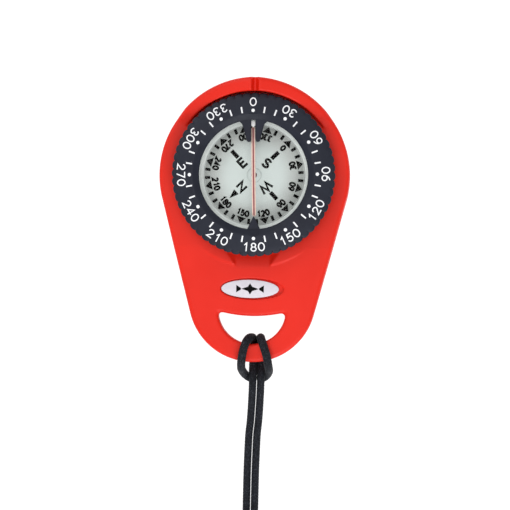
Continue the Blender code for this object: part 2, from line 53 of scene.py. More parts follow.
def box_mm(node):
    low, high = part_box(node)
    return [v / MM for v in low], [v / MM for v in high]


# Sizes taken from the frame
CASE_LOW, CASE_HIGH = box_mm("front_case")
COVER_TOP_Z = box_mm("rear_cover")[1][2]
BEZEL_LOW, BEZEL_HIGH = box_mm("bezel")
DOME_HIGH = box_mm("dome")[1]
BADGE_LOW, BADGE_HIGH = box_mm("badge")
COIL_LOW, COIL_HIGH = box_mm("lanyard_coil")
KNOT_LOW, KNOT_HIGH = box_mm("lanyard_knot")
CARD_HIGH = box_mm("compass_card")[1]

# Case, as in the CAD model, with finer hood ends, groove and channel
HEAD_R = 38.6
TAIL_R = 25.9
TAIL_Y = CASE_LOW[1] + TAIL_R
SEAM_Z, HOOD_Z = CASE_LOW[2], CASE_HIGH[2]
HOOD_RISE, HOOD_END_RISE = 10.5, 2.6
HOOD_HALF_ANGLE, HOOD_BLEND = 51.5, 6.0
HOOD_FLARE = 0.07
HOOD_EDGE, WELL_EDGE = 1.9, 0.9    # edge radii
SHOULDER_Z = HOOD_Z - HOOD_RISE
SHOULDER_EDGE, REAR_EDGE, REAR_EDGE_ANGLE = 1.7, 0.7, 110
REAR_PULL, REAR_PULL_ANGLE, REAR_PULL_RUN = 1.5, 105, 20
GROOVE_HALF, GROOVE_FLOOR_HALF, GROOVE_DEPTH, GROOVE_END_Y = 1.75, 0.45, 3.0, 20
CHANNEL_HALF, CHANNEL_SINK, CHANNEL_END_Y = 6.9, 1.3, -31
CHANNEL_SINK_Y, CHANNEL_SINK_RUN = -37.5, 5.5
CHANNEL_MOUTH_HALF, CHANNEL_MOUTH_Y, CHANNEL_FLARE = 10.0, -32.4, 0.7
WELL_R, DECK_HOLE_R = 33.7, 24.6
TAIL_TOP_Z, TAIL_SLOPE = 12.7, 0.086
BAR_UNDER_Z, RAMP_START_Y, RAMP_END_Y = 5.4, -37.0, -55.0
SLOT_Y, SLOT_R, SLOT_TOP_Y, SLOT_TOP_R = -54.7, 13.75, -57.15, 54.0
BADGE_Y, RECESS_A, RECESS_B, RECESS_DEPTH = -46.1, 12.8, 4.3, 1.1
TRAY_WALL, TRAY_FLOOR_Z = 2.4, 2.4
SEAT_Z, TAIL_SEAT_Z, SEAT_R, SCREW_HOLE_R = 2.4, 5.6, 2.9, 1.5
POST_R, POST_FOOT_Z, HEAD_SCREWS = 4.2, 0.6, 3
SCREWS = [[(a + b) / 2 for a, b in zip(*box_mm(f"case_screw_{i}"))][:2] for i in range(1, 6)]

# Dial
TEETH, TOOTH_DEPTH = 60, 0.7
TOOTH_R = BEZEL_HIGH[0]
APERTURE_R, CREST_R = 21.95, 24.6
BEZEL_TURN, LUBBER_TURN = 1.36, 1.8    # anticlockwise
FACE_SLOPE = 0.235
DOT_AT_R, DOT_R = 25.72, 0.68
PLATE_Z = (23.1, 24.0)
DOME_R, DOME_INNER_R, DOME_CURVE_R = 25.4, 23.4, 116.0
DOME_APEX_Z, DOME_FOOT_Z, DOME_THICK = DOME_HIGH[2], 18.7, 1.6
CARD_R = CARD_HIGH[0]
CARD_FLAT_R, CARD_EDGE_Z, CARD_TOP_Z = 3.2, 16.3, CARD_HIGH[2]
NORTH = 225.8    # where the card's north points

# Lanyard, as routed in the CAD model
CORD_D = 3.2
CORD_STEP = 0.31
COIL_X = (COIL_LOW[0] + COIL_HIGH[0]) / 2
COIL_Y = (COIL_LOW[1] + COIL_HIGH[1]) / 2
COIL_R_IN, COIL_R_OUT = 14.75, 18.1
COIL_LIFT, COIL_PITCH, COIL_LAYERS, COIL_TOP_Z = COIL_LOW[2], 3.3, 3, 14.0
LAYER_STEP_AT, LAYER_STEP_RUN = 0.78, 0.12    # share of a turn
KNOT_ANGLE = 58.0    # clockwise from the coil's +X side
KNOT_CORD_D, KNOT_LENGTH, KNOT_WRAPS = 3.0, 9.0, 3
KNOT_HALF_WIDTH, KNOT_HALF_HEIGHT = 2.6, 1.75
STRAP_INSET, STRAP_HALF_THICK, STRAP_HALF_WIDTH = 0.42, 0.34, 2.98
BRAID_DEPTH = 0.14
SLACK_SWELL, SLACK_RUN, SLACK_FADE = 0.14, 56, 4
LEFT_ROUTE = [
    (1.95, -82.9, 1.6), (0.0, -82.8, 1.6), (-1.5, -82.2, 1.8), (-2.8, -81.1, 3.1),
    (-3.5, -80.0, 5.6), (-3.85, -78.95, 8.6), (-3.9, -77.95, 11.9), (-3.75, -75.7, 14.75),
    (-3.35, -72.6, 15.45), (-2.75, -69.9, 15.4), (-1.95, -67.5, 14.5), (-0.9, -66.05, 12.2),
    (0.1, -65.9, 9.3), (0.4, -66.25, 6.5), (0.5, -67.85, 4.3), (0.56, -70.8, 3.4),
    (0.6, -74.0, 3.4), (0.6, -77.5, 3.8), (0.6, -81.0, 4.85), (0.58, -84.4, 5.1),
    (0.5, -88.0, 4.4), (0.3, -92.0, 2.8), (0.1, -96.0, 1.8), (-0.2, -101.0, 1.6),
    (-0.65, -106.0, 1.6), (-0.9, -114.0, 1.6), (-1.05, -124.0, 1.6), (-1.05, -142.4, 2.0)]
RIGHT_ROUTE = [
    (2.05, -82.9, 1.6), (4.0, -82.8, 1.6), (5.4, -82.2, 1.8), (6.5, -81.1, 3.1),
    (7.1, -80.0, 5.6), (7.3, -78.95, 8.6), (7.25, -77.9, 11.9), (7.0, -75.7, 14.75),
    (6.35, -72.6, 15.4), (5.4, -69.9, 15.4), (4.55, -67.5, 14.5), (3.9, -66.05, 12.2),
    (3.6, -65.9, 9.3), (3.68, -66.1, 6.5), (3.78, -67.7, 4.3), (3.86, -70.8, 3.4),
    (3.92, -74.0, 3.4), (3.92, -77.5, 3.8), (3.92, -81.0, 4.85), (3.9, -84.4, 5.1),
    (3.82, -88.0, 4.4), (3.62, -92.0, 2.8), (3.42, -96.0, 1.8), (3.12, -101.0, 1.6),
    (2.68, -106.0, 1.6), (2.45, -114.0, 1.6), (2.3, -124.0, 1.6), (2.3, -146.4, 2.2)]


# ---- making pieces

def add(name, data):
    item = bpy.data.objects.new(name, data)
    bpy.context.scene.collection.objects.link(item)
    return item


def piece(name, mesh, mat, body, slot, *replaced, smooth=True):
    """Put a mesh in the scene as a piece of the object, riding on a CAD body."""
    item = add(name, mesh)
    mesh.materials.clear()
    mesh.materials.append(mat)
    if smooth:
        mesh.shade_smooth()
        mesh.set_sharp_from_angle(angle=radians(40))
    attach(item, body)
    if replaced:
        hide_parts(*replaced)
    return item


def mesh_from(name, verts, faces):
    mesh = bpy.data.meshes.new(name)
    mesh.from_pydata((np.asarray(verts, dtype=float) * MM).tolist(), [], faces)
    mesh.validate()
    return mesh


def turned_outwards(mesh, merge=False):
    """Point every face outwards, after merging coincident points if asked."""
    builder = bmesh.new()
    builder.from_mesh(mesh)
    if merge:
        bmesh.ops.remove_doubles(builder, verts=builder.verts, dist=1e-7)
    bmesh.ops.recalc_face_normals(builder, faces=builder.faces)
    builder.to_mesh(mesh)
    builder.free()
    return mesh


def lathe(name, profile, steps, wave=None):
    """Turn a closed profile of (radius, height), running down its outer side, about Z.

    Points on the axis are merged. wave(radius, height, angle) may change a radius.
    """
    verts, faces = [], []
    count = len(profile)
    for i in range(steps):
        angle = 2 * pi * i / steps
        for r, z in profile:
            radius = wave(r, z, angle) if wave else r
            verts.append((radius * cos(angle), radius * sin(angle), z))
    for i in range(steps):
        a, b = i * count, (i + 1) % steps * count
        for j in range(count):
            k = (j + 1) % count
            if profile[j][0] == 0 and profile[k][0] == 0:
                continue
            faces.append((a + j, a + k, b + k, b + j))
    return turned_outwards(mesh_from(name, verts, faces), merge=True)


def rounded(points, radius, steps=4):
    """Round the corners of a closed profile, each by as much as its sides allow."""
    out = []
    count = len(points)
    for i, here in enumerate(points):
        p, before, after = Vector(here), Vector(points[i - 1]), Vector(points[(i + 1) % count])
        to_before, to_after = before - p, after - p
        if here[0] == 0 or min(to_before.length, to_after.length) < 1e-6:
            out.append(tuple(here))
            continue
        cut = min(radius, 0.45 * to_before.length, 0.45 * to_after.length)
        start, end = p + to_before.normalized() * cut, p + to_after.normalized() * cut
        for s in range(steps + 1):
            t = s / steps
            point = start * (1 - t) ** 2 + p * 2 * t * (1 - t) + end * t ** 2
            out.append(tuple(point))
    return out


# ---- smooth solids from fields

def smooth_max(a, b, k):
    h = np.maximum(k - np.abs(a - b), 0.0) / k
    return np.maximum(a, b) + h * h * k / 4


def smooth_min(a, b, k):
    return -smooth_max(-a, -b, k)


def surface_nets(field, low, high, step):
    """Quads on the zero surface of a field that is negative inside."""
    axes = [np.arange(a, b + step, step) for a, b in zip(low, high)]
    x, y, z = np.meshgrid(*axes, indexing="ij")
    value = field(x, y, z).astype(np.float64)
    inside = value < 0
    size = np.array(value.shape)
    count = np.zeros(size - 1, dtype=np.int8)
    for corner in np.ndindex(2, 2, 2):
        part = tuple(slice(c, n - 1 + c) for c, n in zip(corner, size))
        count += inside[part]
    cells = np.argwhere((count > 0) & (count < 8))
    number = -np.ones(size - 1, dtype=np.int64)
    number[tuple(cells.T)] = np.arange(len(cells))
    total, hits = np.zeros((len(cells), 3)), np.zeros(len(cells))
    for axis in range(3):
        unit = np.eye(3, dtype=int)[axis]
        for offset in np.ndindex(2, 2, 2):
            if offset[axis]:
                continue
            start = cells + np.array(offset)
            a, b = value[tuple(start.T)], value[tuple((start + unit).T)]
            crossed = (a < 0) != (b < 0)
            share = np.where(crossed, a / np.where(crossed, a - b, 1.0), 0.0)
            total += (np.array(offset) + share[:, None] * unit) * crossed[:, None]
            hits += crossed
    verts = (cells + total / hits[:, None]) * step + np.array([a[0] for a in axes])
    faces = []
    for axis in range(3):
        unit = np.eye(3, dtype=int)[axis]
        side_a, side_b = np.eye(3, dtype=int)[(axis + 1) % 3], np.eye(3, dtype=int)[(axis + 2) % 3]
        limit = [n - 1 if i == axis else n for i, n in enumerate(size)]
        near = inside[tuple(slice(0, n) for n in limit)]
        far = inside[tuple(slice(u, u + n) for u, n in zip(unit, limit))]
        edges = np.argwhere(near != far)
        edges = edges[((edges > 0) | (unit == 1)).all(1)]
        loops = [edges - side_a - side_b, edges - side_b, edges, edges - side_a]
        quads = np.stack([number[tuple(c.T)] for c in loops], axis=1)
        flip = ~near[tuple(edges.T)]
        quads[flip] = quads[flip][:, ::-1]
        faces.append(quads)
    return verts, np.concatenate(faces)


def settle_on(field, verts, rounds=3):
    """Move points along the field's slope until they lie on its zero surface."""
    tiny = 0.02
    for _ in range(rounds):
        x, y, z = verts.T
        value = field(x, y, z)
        slope = np.stack([field(x + tiny, y, z) - field(x - tiny, y, z),
                          field(x, y + tiny, z) - field(x, y - tiny, z),
                          field(x, y, z + tiny) - field(x, y, z - tiny)], axis=1) / (2 * tiny)
        length = np.maximum((slope ** 2).sum(1), 0.05)
        move = -value[:, None] * slope / length[:, None]
        verts = verts + np.clip(move, -0.3, 0.3)
    return verts


def field_mesh(name, field, low, high, step):
    verts, faces = surface_nets(field, low, high, step)
    verts = settle_on(field, verts)
    return mesh_from(name, verts, faces.tolist())


# ---- case

def pod(x, y):
    """Distance to the case outline: two circles and their common tangents."""
    down = -y
    lean = (HEAD_R - TAIL_R) / -TAIL_Y
    upright = sqrt(1 - lean * lean)
    along = -lean * np.abs(x) + upright * down
    side = upright * np.abs(x) + lean * down - HEAD_R
    head, tail = np.hypot(x, y) - HEAD_R, np.hypot(x, y - TAIL_Y) - TAIL_R
    return np.where(along < 0, head, np.where(along > upright * -TAIL_Y, tail, side))


def tail_top(y):
    return TAIL_TOP_Z + TAIL_SLOPE * (y - TAIL_Y + TAIL_R)


def slot_field(x, y):
    """The lanyard slot: a deep arc below, a shallow arc above, with rounded corners."""
    below = np.hypot(x, y - SLOT_Y) - SLOT_R
    above = SLOT_TOP_R - np.hypot(x, y - SLOT_TOP_Y - SLOT_TOP_R)
    return smooth_max(below, above, 2.6)


def hood_rise(x, y):
    """Height of the hood above the shoulder: steady slopes from the axis to its two ends."""
    angle = np.degrees(np.abs(np.arctan2(x, y)))
    run = np.clip((HOOD_HALF_ANGLE + HOOD_BLEND - angle) / (2 * HOOD_BLEND), 0, 1)
    slope = np.clip(1 - angle / HOOD_HALF_ANGLE, 0, 1)
    return (HOOD_END_RISE + (HOOD_RISE - HOOD_END_RISE) * slope) * run * run * (3 - 2 * run)


def head_field(x, y, z):
    """The round head with its hood, and the edge drawn in over the tail."""
    radius, rise = np.hypot(x, y), hood_rise(x, y)
    angle = np.degrees(np.abs(np.arctan2(x, y)))
    climb = np.clip((z - SEAM_Z) / (SHOULDER_Z + rise - SEAM_Z), 0, 1)
    turned = np.clip((angle - REAR_PULL_ANGLE) / REAR_PULL_RUN, 0, 1)
    pull = REAR_PULL * turned * np.clip(z - SHOULDER_Z + 2, 0, 1)
    side = radius - HEAD_R - HOOD_FLARE * rise * climb + pull
    edge = np.where(angle > REAR_EDGE_ANGLE, REAR_EDGE, SHOULDER_EDGE)
    low = smooth_max(side, z - SHOULDER_Z, edge)
    hood = smooth_max(side, (z - SHOULDER_Z - rise) * 0.9, HOOD_EDGE)
    return np.minimum(low, smooth_max(hood, WELL_R - radius, WELL_EDGE))


def channel_field(x, y, z, roof):
    """The way down from the tail to the dial: its floor sinks and its walls flare outwards."""
    floor = roof - CHANNEL_SINK * np.clip((y - CHANNEL_SINK_Y) / CHANNEL_SINK_RUN, 0, 1)
    mouth = CHANNEL_MOUTH_HALF + (y - CHANNEL_MOUTH_Y) * CHANNEL_FLARE
    spread = np.maximum(mouth - CHANNEL_HALF, 0)
    climb = np.clip((z - floor) / np.maximum(SHOULDER_Z - floor, 0.2), 0, 1.5)
    wall = np.abs(x) - CHANNEL_HALF - spread * climb
    return np.maximum(smooth_max(wall, floor - z, 0.3), y - CHANNEL_END_Y)


def groove_field(x, y, z):
    """The sighting groove: a flat-bottomed V along the top of the hood."""
    floor = HOOD_Z - GROOVE_DEPTH
    slope = (GROOVE_HALF - GROOVE_FLOOR_HALF) / GROOVE_DEPTH
    wall = np.abs(x) - GROOVE_FLOOR_HALF - slope * (z - floor)
    return smooth_max(np.maximum(wall, GROOVE_END_Y - y), floor - z, 0.3)


def front_field(x, y, z):
    radius = np.hypot(x, y)
    roof = np.minimum(tail_top(y), SHOULDER_Z)
    tail = smooth_max(pod(x, y), z - roof, 2.0)
    solid = np.minimum(head_field(x, y, z), tail)
    solid = smooth_max(solid, SEAM_Z - z, 0.5)
    solid = smooth_max(solid, DECK_HOLE_R - radius, 0.5)
    solid = smooth_max(solid, -channel_field(x, y, z, roof), 0.3)
    solid = smooth_max(solid, -groove_field(x, y, z), 0.3)
    oval = (np.sqrt((x / RECESS_A) ** 2 + ((y - BADGE_Y) / RECESS_B) ** 2) - 1) * RECESS_B
    recess = smooth_max(oval, tail_top(y) - RECESS_DEPTH - z, 0.3)
    solid = smooth_max(solid, -recess, 0.4)
    return smooth_max(solid, -slot_field(x, y), 1.6)


def cover_field(x, y, z):
    rise = BAR_UNDER_Z / (RAMP_START_Y - RAMP_END_Y)
    under = np.clip((RAMP_START_Y - y) * rise, 0, BAR_UNDER_Z)
    solid = smooth_max(pod(x, y), (under - z) * 0.95, 2.4)
    solid = smooth_max(solid, z - COVER_TOP_Z, 0.5)
    tray = np.maximum(np.hypot(x, y) - HEAD_R + TRAY_WALL, TRAY_FLOOR_Z - z)
    solid = smooth_max(solid, -tray, 0.5)
    for i, (cx, cy) in enumerate(SCREWS):
        around = np.hypot(x - cx, y - cy)
        seat = SEAT_Z if i < HEAD_SCREWS else TAIL_SEAT_Z
        if i < HEAD_SCREWS:
            post = np.maximum(np.maximum(around - POST_R, z - COVER_TOP_Z), POST_FOOT_Z - z)
            solid = smooth_min(solid, post, 0.4)
        solid = smooth_max(solid, -np.maximum(around - SEAT_R, z - seat), 0.3)
        solid = smooth_max(solid, SCREW_HOLE_R - around, 0.2)
    return smooth_max(solid, -slot_field(x, y), 2.0)


def make_case(red):
    low = (-HEAD_R - 1, CASE_LOW[1] - 1)
    high = (HEAD_R + 1, CASE_HIGH[1] + 1)
    step = 0.5
    front = field_mesh("front_shell", front_field, (*low, SEAM_Z - 1), (*high, HOOD_Z + 1), step)
    piece("front_shell", front, red, "case", "case_red", "front_case")
    rear = field_mesh("rear_shell", cover_field, (*low, -1), (*high, SEAM_Z + 1), step)
    piece("rear_shell", rear, red, "case", "case_red", "rear_cover")


# ---- materials

def shader(name, colour, roughness, metallic=0.0, **extra):
    mat = bpy.data.materials.new(name)
    mat.use_nodes = True
    node = mat.node_tree.nodes["Principled BSDF"]
    node.inputs["Base Color"].default_value = (*colour, 1)
    node.inputs["Roughness"].default_value = roughness
    node.inputs["Metallic"].default_value = metallic
    for key, value in extra.items():
        node.inputs[key.replace("_", " ")].default_value = value
    return mat, mat.node_tree, node


def noise(tree, scale, detail=3.0, roughness=0.5):
    """Noise over the object's own coordinates; scale is features per millimetre."""
    place = tree.nodes.new("ShaderNodeTexCoord")
    node = tree.nodes.new("ShaderNodeTexNoise")
    node.inputs["Scale"].default_value = scale / MM
    node.inputs["Detail"].default_value = detail
    node.inputs["Roughness"].default_value = roughness
    tree.links.new(place.outputs["Object"], node.inputs["Vector"])
    return node.outputs["Fac"]


def ramp(tree, source, stops):
    """A colour ramp; stops are (position, colour or grey)."""
    node = tree.nodes.new("ShaderNodeValToRGB")
    cr = node.color_ramp
    while len(cr.elements) < len(stops):
        cr.elements.new(0.5)
    for element, (position, colour) in zip(cr.elements, stops):
        element.position = position
        colour = (colour,) * 3 if isinstance(colour, (int, float)) else colour
        element.color = (*colour, 1)
    tree.links.new(source, node.inputs["Fac"])
    return node.outputs["Color"]


def bump(tree, node, height, strength, distance):
    """Feed a height in millimetres of distance into a shader's normal."""
    made = tree.nodes.new("ShaderNodeBump")
    made.inputs["Strength"].default_value = strength
    made.inputs["Distance"].default_value = distance * MM
    tree.links.new(height, made.inputs["Height"])
    tree.links.new(made.outputs["Normal"], node.inputs["Normal"])


def mottled(name, dark, light, roughness, scale, grain, grain_depth, metallic=0.0, **extra):
    """Moulded plastic: slight colour drift, uneven gloss and a fine spark-eroded grain."""
    mat, tree, node = shader(name, light, roughness, metallic, **extra)
    drift = noise(tree, scale)
    tree.links.new(ramp(tree, drift, [(0.3, dark), (0.7, light)]), node.inputs["Base Color"])
    gloss = ramp(tree, noise(tree, scale * 3, 4), [(0.3, roughness * 0.88), (0.7, roughness * 1.12)])
    tree.links.new(gloss, node.inputs["Roughness"])
    bump(tree, node, noise(tree, grain, 2), 0.35, grain_depth)
    return mat


def radial(tree):
    """Distance from the dial's axis, in metres, over the object's own coordinates."""
    place = tree.nodes.new("ShaderNodeTexCoord")
    flat = tree.nodes.new("ShaderNodeVectorMath")
    flat.operation = "MULTIPLY"
    flat.inputs[1].default_value = (1, 1, 0)
    length = tree.nodes.new("ShaderNodeVectorMath")
    length.operation = "LENGTH"
    tree.links.new(place.outputs["Object"], flat.inputs[0])
    tree.links.new(flat.outputs["Vector"], length.inputs[0])
    return length.outputs["Value"]


def card_paint():
    """Pale grey-green card, with painted shade that darkens it under the degree scale, and lighter
    again at its very rim.
    """
    mat, tree, node = shader("card_paint", (0.55, 0.6, 0.58), 0.5)
    share = tree.nodes.new("ShaderNodeMapRange")
    share.inputs["From Max"].default_value = CARD_R * MM
    tree.links.new(radial(tree), share.inputs["Value"])
    # painted shade: the card darkens under the degree scale, where the bezel and the well shade it,
    # then turns lighter at the very rim
    painted_scale_shade = ramp(tree, share.outputs["Result"],
                 [(0.0, (0.6, 0.66, 0.65)), (0.55, (0.6, 0.65, 0.64)),
                  (0.8, (0.52, 0.54, 0.53)), (0.975, (0.46, 0.48, 0.47)),
                  (0.988, (0.72, 0.74, 0.73))])
    speckle = ramp(tree, noise(tree, 2.5, 2), [(0.3, 0.93), (0.7, 1.0)])
    mixed = tree.nodes.new("ShaderNodeMix")
    mixed.data_type = "RGBA"
    mixed.blend_type = "MULTIPLY"
    mixed.inputs["Factor"].default_value = 1.0
    tree.links.new(painted_scale_shade, mixed.inputs[6])
    tree.links.new(speckle, mixed.inputs[7])
    tree.links.new(mixed.outputs[2], node.inputs["Base Color"])
    return mat


def clear_window(name, tint, gloss_roughness, ior):
    """Clear polished plastic: what is behind shows through, with a Fresnel reflection."""
    mat = bpy.data.materials.new(name)
    mat.use_nodes = True
    tree = mat.node_tree
    tree.nodes.clear()
    out = tree.nodes.new("ShaderNodeOutputMaterial")
    through = tree.nodes.new("ShaderNodeBsdfTransparent")
    through.inputs["Color"].default_value = (*tint, 1)
    mirror = tree.nodes.new("ShaderNodeBsdfGlossy")
    mirror.inputs["Roughness"].default_value = gloss_roughness
    edge = tree.nodes.new("ShaderNodeFresnel")
    edge.inputs["IOR"].default_value = ior
    mix = tree.nodes.new("ShaderNodeMixShader")
    tree.links.new(edge.outputs["Fac"], mix.inputs["Fac"])
    tree.links.new(through.outputs["BSDF"], mix.inputs[1])
    tree.links.new(mirror.outputs["BSDF"], mix.inputs[2])
    tree.links.new(mix.outputs["Shader"], out.inputs["Surface"])
    return mat


def braid_paint():
    """Black polyester braid, with paler flecks where its yarns catch the light."""
    mat, tree, node = shader("cord_braid", (0.01, 0.011, 0.015), 0.7, Sheen_Weight=0.035,
                             Sheen_Roughness=0.45, Specular_IOR_Level=0.15)
    flecks = ramp(tree, noise(tree, 1.9, 3, 0.7),
                  [(0.38, (0.002, 0.0025, 0.004)), (0.55, (0.009, 0.0105, 0.015)),
                   (0.7, (0.045, 0.05, 0.064))])
    tree.links.new(flecks, node.inputs["Base Color"])
    bump(tree, node, noise(tree, 5.0, 2), 0.5, 0.06)
    return mat


# ---- lettering

def arc_points(cx, cy, rx, ry, start, end, count=14):
    angles = [radians(start + (end - start) * i / (count - 1)) for i in range(count)]
    return [(cx + rx * cos(a), cy + ry * sin(a)) for a in angles]


def glyph(char):
    """Strokes of a character in a box 1 high: (points, closed). Its width is in WIDTHS."""
    oval = arc_points(0.38, 0.5, 0.38, 0.5, 90, 450, 30)[:-1]
    strokes = {
        "0": [(oval, True)],
        "1": [([(0.06, 0.76), (0.3, 1.0), (0.3, 0.0)], False)],
        "2": [(arc_points(0.34, 0.7, 0.32, 0.3, 165, -25) + [(0.02, 0.0), (0.68, 0.0)], False)],
        "3": [(arc_points(0.33, 0.755, 0.28, 0.245, 150, -90)
               + arc_points(0.33, 0.255, 0.33, 0.255, 90, -150), False)],
        "4": [([(0.52, 0.0), (0.52, 1.0), (0.02, 0.27), (0.72, 0.27)], False)],
        "5": [([(0.6, 1.0), (0.14, 1.0), (0.08, 0.56)]
               + arc_points(0.32, 0.32, 0.34, 0.32, 118, -150), False)],
        "6": [(arc_points(0.35, 0.32, 0.33, 0.32, 0, 360, 24)[:-1], True),
              (arc_points(0.72, 0.3, 0.7, 0.72, 180, 106, 9), False)],
        "7": [([(0.02, 1.0), (0.66, 1.0), (0.24, 0.0)], False)],
        "8": [(arc_points(0.35, 0.76, 0.27, 0.24, 0, 360, 22)[:-1], True),
              (arc_points(0.35, 0.26, 0.33, 0.26, 0, 360, 22)[:-1], True)],
        "9": [(arc_points(0.35, 0.68, 0.33, 0.32, 0, 360, 24)[:-1], True),
              (arc_points(-0.02, 0.7, 0.7, 0.72, 0, -74, 9), False)],
        "N": [([(0.0, 0.0), (0.0, 1.0), (0.7, 0.0), (0.7, 1.0)], False)],
        "E": [([(0.62, 1.0), (0.0, 1.0), (0.0, 0.0), (0.62, 0.0)], False),
              ([(0.0, 0.52), (0.52, 0.52)], False)],
        "S": [(arc_points(0.34, 0.755, 0.3, 0.245, 30, 270)
               + arc_points(0.34, 0.255, 0.33, 0.255, 90, -150), False)],
        "W": [([(0.0, 1.0), (0.22, 0.0), (0.5, 1.0), (0.78, 0.0), (1.0, 1.0)], False)],
    }
    return strokes[char]


WIDTHS = {"1": 0.42, "2": 0.7, "3": 0.66, "4": 0.74, "5": 0.68, "6": 0.7, "7": 0.68, "8": 0.7,
          "9": 0.7, "0": 0.76, "N": 0.7, "E": 0.62, "S": 0.68, "W": 1.0}


def stations(points, width, closed, round_ends):
    """Left and right edge points along a stroke of even width."""
    pts = [Vector(p) for p in points]
    count, half, out = len(pts), width / 2, []
    for i, p in enumerate(pts):
        before = pts[i - 1] if closed or i else None
        after = pts[(i + 1) % count] if closed or i < count - 1 else None
        a = (p - before).normalized() if before is not None else (after - p).normalized()
        b = (after - p).normalized() if after is not None else a
        tangent = (a + b).normalized()
        side = Vector((-tangent.y, tangent.x))
        reach = half / max(0.45, side.dot(Vector((-a.y, a.x))))
        out.append((p + side * reach, p - side * reach))
    if not closed and round_ends:
        for end, inward in ((0, 1), (-1, -2)):
            tip, along = pts[end], (pts[end] - pts[inward]).normalized()
            side = Vector((-along.y, along.x)) * (1 if end else -1)
            caps = [(tip + along * half * sin(a) + side * half * cos(a),
                     tip + along * half * sin(a) - side * half * cos(a))
                    for a in (0.5, 1.0, 1.45)]
            out = out + caps if end else list(reversed(caps)) + out
    return out


class Film:
    """Thin printed marks that lie on a dial surface, gathered in one mesh.

    surface(x, y) is the height printed on. Each mark is a thin closed solid.
    """
    def __init__(self, surface, thick=0.05, sink=0.05):
        self.surface, self.thick, self.sink = surface, thick, sink
        self.verts, self.faces = [], []

    def lay(self, point):
        x, y = point
        z = self.surface(x, y)
        self.verts.append((x, y, z + self.thick))
        self.verts.append((x, y, z - self.sink))
        return len(self.verts) - 2

    def strip(self, pairs, closed):
        rows = [(self.lay(left), self.lay(right)) for left, right in pairs]
        spans = list(zip(rows, rows[1:])) + ([(rows[-1], rows[0])] if closed else [])
        for (l0, r0), (l1, r1) in spans:
            self.faces += [(l0, r0, r1, l1), (l0 + 1, l1 + 1, r1 + 1, r0 + 1),
                           (r0, r0 + 1, r1 + 1, r1), (l0, l1, l1 + 1, l0 + 1)]
        if not closed:
            (l0, r0), (l1, r1) = rows[0], rows[-1]
            self.faces += [(l0, l0 + 1, r0 + 1, r0), (l1, r1, r1 + 1, l1 + 1)]

    def patch(self, outline):
        """A filled outline, anticlockwise."""
        ring = [self.lay(p) for p in outline]
        self.faces.append(tuple(ring))
        self.faces.append(tuple(i + 1 for i in reversed(ring)))
        for a, b in zip(ring, ring[1:] + ring[:1]):
            self.faces.append((b, a, a + 1, b + 1))

    def mesh(self, name):
        return turned_outwards(mesh_from(name, self.verts, self.faces))


def polar(bearing, radius, across=0.0):
    """A point at a bearing and radius, moved across to the right of the outward direction."""
    b = radians(bearing)
    return (radius * sin(b) + across * cos(b), radius * cos(b) - across * sin(b))


def mark(film, bearing, radii, width):
    """A straight mark along a radius, through the given radii."""
    film.strip(stations([Vector(polar(bearing, r)) for r in radii], width, False, False), False)


def write(film, text, bearing, radius, height, stroke, pitch, squeeze=1.0, inward=True,
          round_ends=False):
    """Write text along an arc, centred at a bearing. inward: its top faces the centre."""
    tall = height - stroke
    sign = -1 if inward else 1
    for i, char in enumerate(text):
        step = sign * (i - (len(text) - 1) / 2) * pitch
        turned_to = bearing + degrees(step / radius)
        middle = WIDTHS[char] / 2
        for points, closed in glyph(char):
            flat = [((u - middle) * tall * squeeze, (v - 0.5) * tall) for u, v in points]
            placed = [Vector(polar(turned_to, radius + sign * v, sign * u)) for u, v in flat]
            film.strip(stations(placed, stroke, closed, round_ends), closed)


# ---- bezel

def bezel_face(radius):
    """Height of the bezel's printed face and of its inner slope."""
    if radius > CREST_R:
        return BEZEL_HIGH[2] - (radius - CREST_R) * FACE_SLOPE
    share = (radius - APERTURE_R) / (CREST_R - APERTURE_R)
    return PLATE_Z[1] + (BEZEL_HIGH[2] - PLATE_Z[1]) * share


def scallop(r, z, angle):
    """Shallow grip scallops round the rim, fading out towards the printed face."""
    depth = TOOTH_DEPTH * min(1.0, max(0.0, (r - 31.2) / 0.9))
    dip = 1 - abs(cos(TEETH * angle / 2)) ** 0.55
    return r - depth * dip


def fork_outline():
    """Two prongs with round tips, joined to the aperture's edge by fillets."""
    side = [(6.8, 22.9), (5.5, 21.2), (4.7, 20.45), (4.2, 19.5), (3.8, 18.2), (3.4, 16.5),
            (3.0, 14.9), (2.78, 13.95)]
    tip = arc_points(1.82, 13.95, 0.96, 0.85, 0, -180, 9)[1:]
    half = side + tip + [(0.86, 19.0), (0.86, 22.0)]
    return [(-x, y) for x, y in half] + list(reversed(half))


def inset(outline, distance):
    """Move an anticlockwise outline inwards, corner by corner."""
    moved = []
    for i, here in enumerate(outline):
        p, before, after = Vector(here), Vector(outline[i - 1]), Vector(outline[(i + 1) % len(outline)])
        a, b = (p - before).normalized(), (after - p).normalized()
        side = (Vector((-a.y, a.x)) + Vector((-b.y, b.x))).normalized()
        moved.append(p + side * distance / max(0.5, side.dot(Vector((-a.y, a.x)))))
    return moved


def plate(name, outline, low, high, ease, turn=0.0, lean=0.0):
    """A flat plate with eased top edges; lean tilts its top along Y about its middle."""
    area = sum(x0 * y1 - x1 * y0 for (x0, y0), (x1, y1) in zip(outline, outline[1:] + outline[:1]))
    loop = outline if area > 0 else outline[::-1]
    levels = [(0.0, low), (0.0, high - ease), (0.3 * ease, high - 0.3 * ease), (ease, high)]
    middle = sum(y for _, y in loop) / len(loop)
    verts, count = [], len(loop)
    for distance, z in levels:
        for x, y in inset(loop, distance):
            rise = lean * (y - middle) if z > low else 0.0
            spin = radians(turn)
            verts.append((x * cos(spin) - y * sin(spin), x * sin(spin) + y * cos(spin), z + rise))
    faces = [tuple(reversed(range(count))), tuple(range(3 * count, 4 * count))]
    for level in range(3):
        for i in range(count):
            j = (i + 1) % count
            a, b = level * count, (level + 1) * count
            faces.append((a + i, a + j, b + j, b + i))
    return mesh_from(name, verts, faces)


